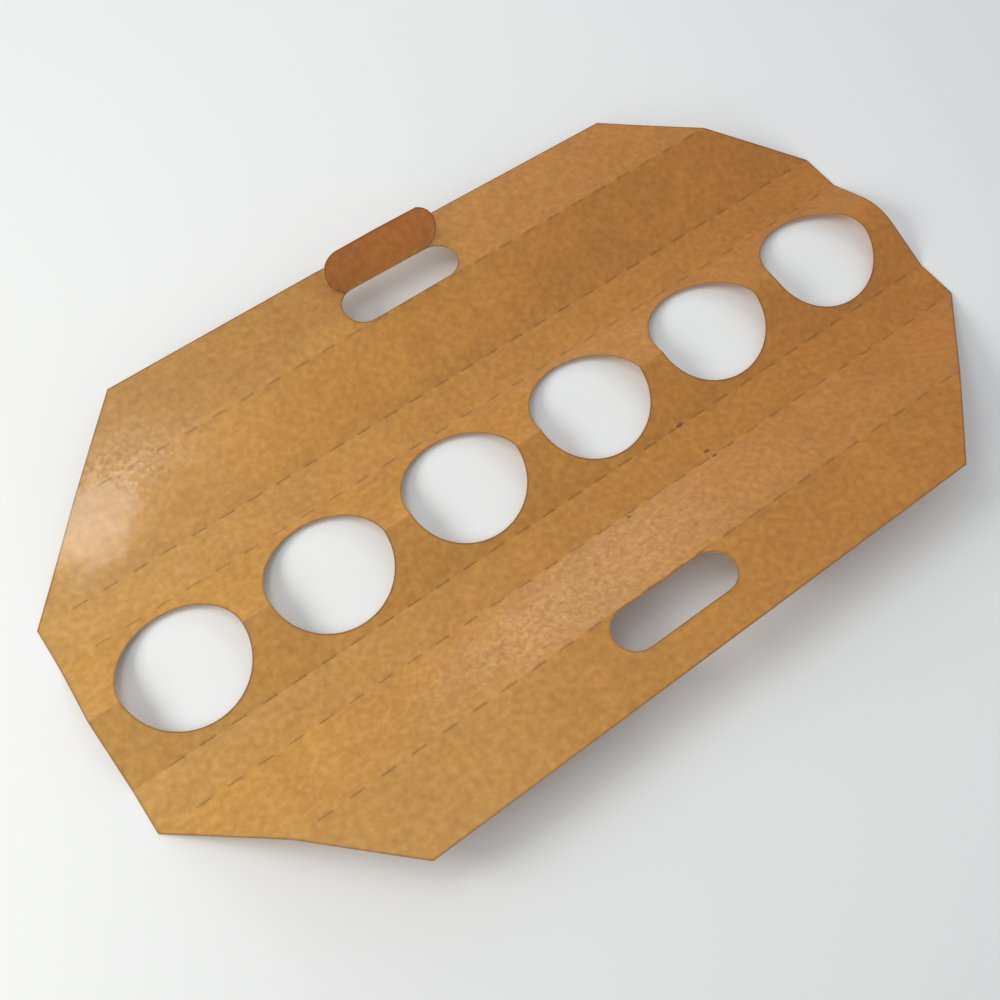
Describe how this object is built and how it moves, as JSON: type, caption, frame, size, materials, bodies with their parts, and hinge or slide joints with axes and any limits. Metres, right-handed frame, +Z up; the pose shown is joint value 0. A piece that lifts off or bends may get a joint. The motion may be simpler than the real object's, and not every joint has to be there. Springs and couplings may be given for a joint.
{
  "type": "cardboard cup carrier",
  "caption": "Opened-out cardboard cup carrier: a creased kraft sheet with cup holes along an arched strip, sloping sides, and flaps with hand slots, one with its tongue folded back",
  "frame": {"origin": "centre of the sheet's footprint, on the surface that the flat base panels rest on", "axes": "X along the creases and the row of cup holes, Y across them towards the flap whose slot keeps its tongue, Z up"},
  "size_m": [0.596, 0.3484, 0.045],
  "materials": {
    "kraft_board": "natural brown kraft board, slightly glazed, with fine fibre flecks"
  },
  "bodies": {
    "root": {"carrier_sheet": "kraft_board"}
  },
  "joints": []
}
